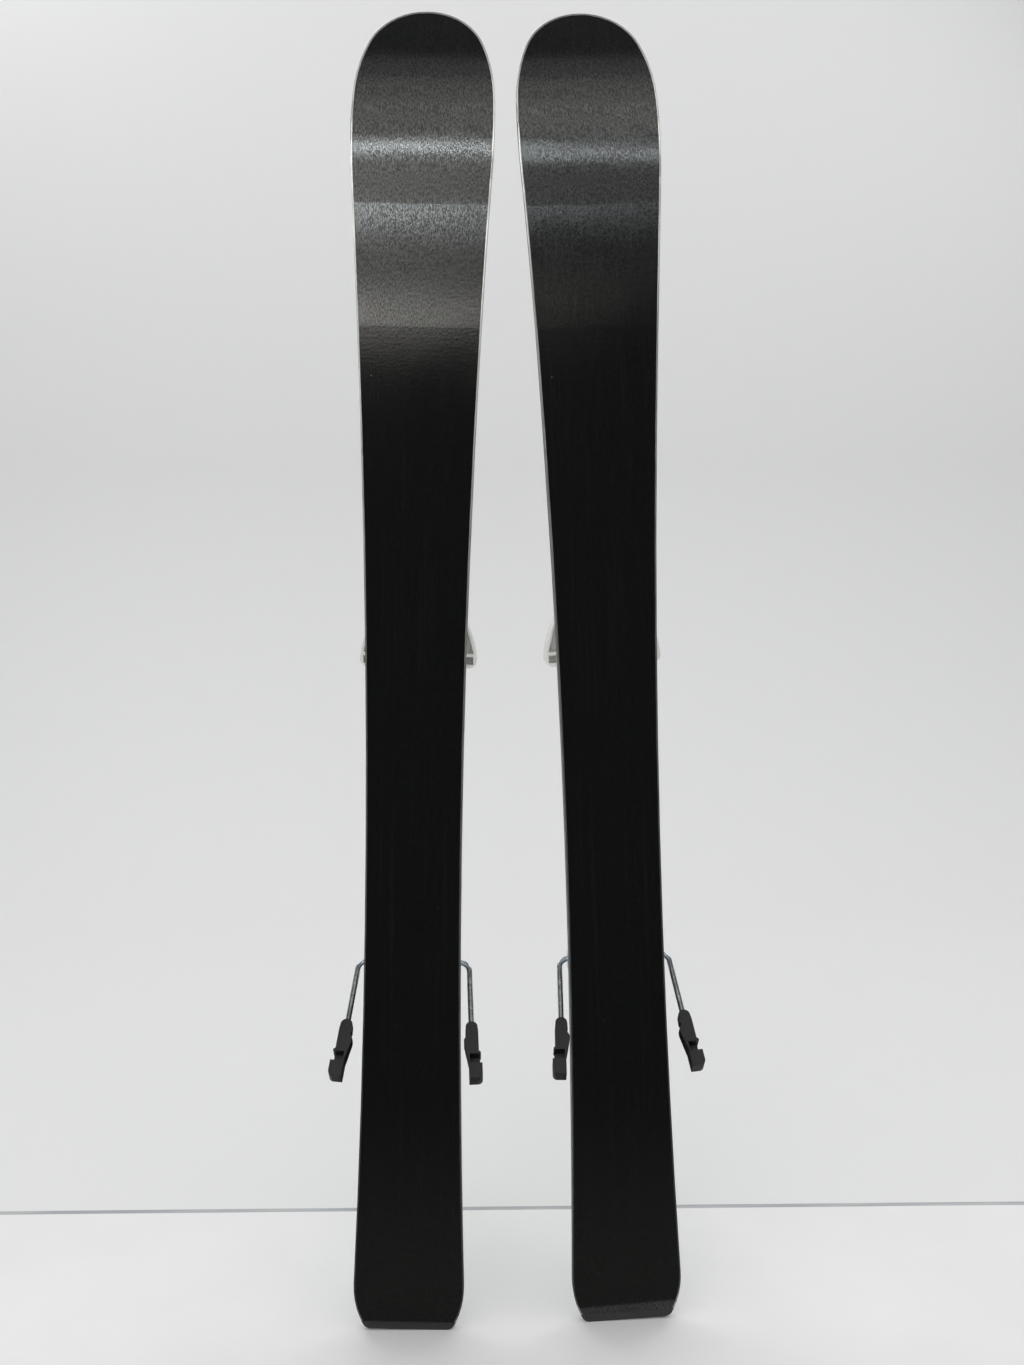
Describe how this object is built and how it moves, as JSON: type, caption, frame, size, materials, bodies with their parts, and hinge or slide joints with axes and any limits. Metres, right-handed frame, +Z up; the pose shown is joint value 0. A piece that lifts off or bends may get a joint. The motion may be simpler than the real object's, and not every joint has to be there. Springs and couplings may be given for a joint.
{
  "type": "alpine skis with bindings",
  "caption": "Pair of short alpine skis with black running bases, steel edges and step-in toe and heel bindings, stood on their tails with the ski brakes released.",
  "frame": {"origin": "on the ground under the middle of the pair's bounding box", "axes": "+Z up along the skis towards the tips, -Y out of the running bases, +X to the right as one looks at the bases"},
  "size_m": [0.322, 0.176, 1.1725],
  "materials": {
    "base_sheet": "sintered black running base with fine lengthwise ground structure",
    "edge_steel": "ground steel edge, bright",
    "wood_core": "laminated wood core",
    "sidewall": "milled black sidewall",
    "topsheet": null,
    "tail_protector": "black moulded tail protector",
    "zinc_screw": "zinc-plated screw",
    "base_plate": "black glass-filled plastic",
    "white_shell": "white moulded shell, semi-gloss",
    "white_wing": "white moulded jaw, semi-gloss",
    "steel_pin": "steel pin",
    "spring_steel": "spring steel",
    "gliding_pad": "grey low-friction gliding pad",
    "track_steel": "stamped steel rail",
    "heel_cup": "white moulded heel cup",
    "heel_lever": "black moulded lever",
    "brake_plastic": "black moulded brake plastic",
    "brake_wire": "zinc-plated spring wire"
  },
  "bodies": {
    "left_ski": {"left_running_base": "base_sheet", "left_steel_edges": "edge_steel", "left_core": "wood_core", "left_sidewalls": "sidewall", "left_topsheet": "topsheet", "left_tail_protector": "tail_protector", "left_binding_screws": "zinc_screw", "left_toe_base_plate": "base_plate", "left_toe_housing": "white_shell", "left_toe_wing_pins": "steel_pin", "left_toe_spring": "spring_steel", "left_heel_track": "track_steel"},
    "left_toe_wing_left": {"left_toe_wing_left": "white_wing"},
    "left_toe_wing_right": {"left_toe_wing_right": "white_wing"},
    "left_afd": {"left_afd_pad": "gliding_pad"},
    "left_toe_screw": {"left_toe_adjusting_screw": "zinc_screw"},
    "left_carriage": {"left_heel_carriage": "base_plate", "left_brake_base": "base_plate"},
    "left_heel": {"left_heel_housing": "white_shell", "left_heel_cup": "heel_cup", "left_heel_pins": "steel_pin", "left_heel_spring": "spring_steel"},
    "left_lever": {"left_heel_lever": "heel_lever"},
    "left_heel_screw": {"left_heel_adjusting_screw": "zinc_screw"},
    "left_brake": {"left_brake_pedal": "brake_plastic", "left_brake_arm_left": "brake_wire", "left_brake_arm_right": "brake_wire", "left_brake_foot_left": "brake_plastic", "left_brake_foot_right": "brake_plastic", "left_brake_spring": "spring_steel"},
    "right_ski": {"right_running_base": "base_sheet", "right_steel_edges": "edge_steel", "right_core": "wood_core", "right_sidewalls": "sidewall", "right_topsheet": "topsheet", "right_tail_protector": "tail_protector", "right_binding_screws": "zinc_screw", "right_toe_base_plate": "base_plate", "right_toe_housing": "white_shell", "right_toe_wing_pins": "steel_pin", "right_toe_spring": "spring_steel", "right_heel_track": "track_steel"},
    "right_toe_wing_left": {"right_toe_wing_left": "white_wing"},
    "right_toe_wing_right": {"right_toe_wing_right": "white_wing"},
    "right_afd": {"right_afd_pad": "gliding_pad"},
    "right_toe_screw": {"right_toe_adjusting_screw": "zinc_screw"},
    "right_carriage": {"right_heel_carriage": "base_plate", "right_brake_base": "base_plate"},
    "right_heel": {"right_heel_housing": "white_shell", "right_heel_cup": "heel_cup", "right_heel_pins": "steel_pin", "right_heel_spring": "spring_steel"},
    "right_lever": {"right_heel_lever": "heel_lever"},
    "right_heel_screw": {"right_heel_adjusting_screw": "zinc_screw"},
    "right_brake": {"right_brake_pedal": "brake_plastic", "right_brake_arm_left": "brake_wire", "right_brake_arm_right": "brake_wire", "right_brake_foot_left": "brake_plastic", "right_brake_foot_right": "brake_plastic", "right_brake_spring": "spring_steel"}
  },
  "joints": [
    {"name": "pair_spread", "type": "slide", "parent": "left_ski", "child": "right_ski", "axis": [1, 0, 0], "range_m": [0, 0.3]},
    {"name": "left_toe_wing_left_release", "type": "hinge", "parent": "left_ski", "child": "left_toe_wing_left", "pos_m": [-0.10127, 0.02308, 0.6764], "axis": [0.061, 0.9981, -0.0018], "range_deg": [0, 30], "stiffness_Nm_per_rad": 1.5, "springref_deg": -11.46},
    {"name": "left_toe_wing_right_release", "type": "hinge", "parent": "left_ski", "child": "left_toe_wing_right", "pos_m": [-0.05338, 0.02015, 0.67496], "axis": [-0.061, -0.9981, 0.0018], "range_deg": [0, 30], "stiffness_Nm_per_rad": 1.5, "springref_deg": -11.46},
    {"name": "left_afd_glide", "type": "slide", "parent": "left_ski", "child": "left_afd", "axis": [0.9977, -0.061, -0.03], "range_m": [-0.006, 0.006], "stiffness_N_per_m": 400},
    {"name": "left_toe_screw_turn", "type": "hinge", "parent": "left_ski", "child": "left_toe_screw", "pos_m": [-0.07532, 0.02062, 0.74465], "axis": [0.03, 0, 0.9995], "range_deg": [-450, 450]},
    {"name": "left_carriage_slide", "type": "slide", "parent": "left_ski", "child": "left_carriage", "axis": [0.03, 0, 0.9995], "range_m": [-0.016, 0.02]},
    {"name": "left_heel_open", "type": "hinge", "parent": "left_carriage", "child": "left_heel", "pos_m": [-0.09111, 0.01563, 0.22889], "axis": [-0.9977, 0.061, 0.03], "range_deg": [0, 30]},
    {"name": "left_lever_step", "type": "hinge", "parent": "left_heel", "child": "left_lever", "pos_m": [-0.08704, 0.06753, 0.25879], "axis": [-0.9977, 0.061, 0.03], "range_deg": [0, 28]},
    {"name": "left_heel_screw_turn", "type": "hinge", "parent": "left_heel", "child": "left_heel_screw", "pos_m": [-0.09065, 0.0286, 0.21788], "axis": [0.03, 0, 0.9995], "range_deg": [-450, 450]},
    {"name": "left_brake_swing", "type": "hinge", "parent": "left_carriage", "child": "left_brake", "pos_m": [-0.08842, 0.00315, 0.34387], "axis": [0.9977, -0.061, -0.03], "range_deg": [0, 55], "stiffness_Nm_per_rad": 0.6, "springref_deg": -34.38},
    {"name": "right_toe_wing_left_release", "type": "hinge", "parent": "right_ski", "child": "right_toe_wing_left", "pos_m": [0.0592, 0.02169, 0.67502], "axis": [0, 1, 0], "range_deg": [0, 30], "stiffness_Nm_per_rad": 1.5, "springref_deg": -11.46},
    {"name": "right_toe_wing_right_release", "type": "hinge", "parent": "right_ski", "child": "right_toe_wing_right", "pos_m": [0.10718, 0.02169, 0.67646], "axis": [0, -1, 0], "range_deg": [0, 30], "stiffness_Nm_per_rad": 1.5, "springref_deg": -11.46},
    {"name": "right_afd_glide", "type": "slide", "parent": "right_ski", "child": "right_afd", "axis": [0.9995, 0, 0.03], "range_m": [-0.006, 0.006], "stiffness_N_per_m": 400},
    {"name": "right_toe_screw_turn", "type": "hinge", "parent": "right_ski", "child": "right_toe_screw", "pos_m": [0.08112, 0.0207, 0.74471], "axis": [-0.03, 0, 0.9995], "range_deg": [-450, 450]},
    {"name": "right_carriage_slide", "type": "slide", "parent": "right_ski", "child": "right_carriage", "axis": [-0.03, 0, 0.9995], "range_m": [-0.016, 0.02]},
    {"name": "right_heel_open", "type": "hinge", "parent": "right_carriage", "child": "right_heel", "pos_m": [0.09661, 0.0157, 0.22895], "axis": [-0.9995, 0, -0.03], "range_deg": [0, 30]},
    {"name": "right_lever_step", "type": "hinge", "parent": "right_heel", "child": "right_lever", "pos_m": [0.09571, 0.0677, 0.25893], "axis": [-0.9995, 0, -0.03], "range_deg": [0, 28]},
    {"name": "right_heel_screw_turn", "type": "hinge", "parent": "right_heel", "child": "right_heel_screw", "pos_m": [0.09694, 0.02869, 0.21795], "axis": [-0.03, 0, 0.9995], "range_deg": [-450, 450]},
    {"name": "right_brake_swing", "type": "hinge", "parent": "right_carriage", "child": "right_brake", "pos_m": [0.09316, 0.00319, 0.34389], "axis": [0.9995, 0, 0.03], "range_deg": [0, 55], "stiffness_Nm_per_rad": 0.6, "springref_deg": -34.38}
  ],
  "couplings": [
    {"joint": "left_lever_step", "follows": "left_heel_open", "ratio": 0.9},
    {"joint": "right_lever_step", "follows": "right_heel_open", "ratio": 0.9}
  ]
}
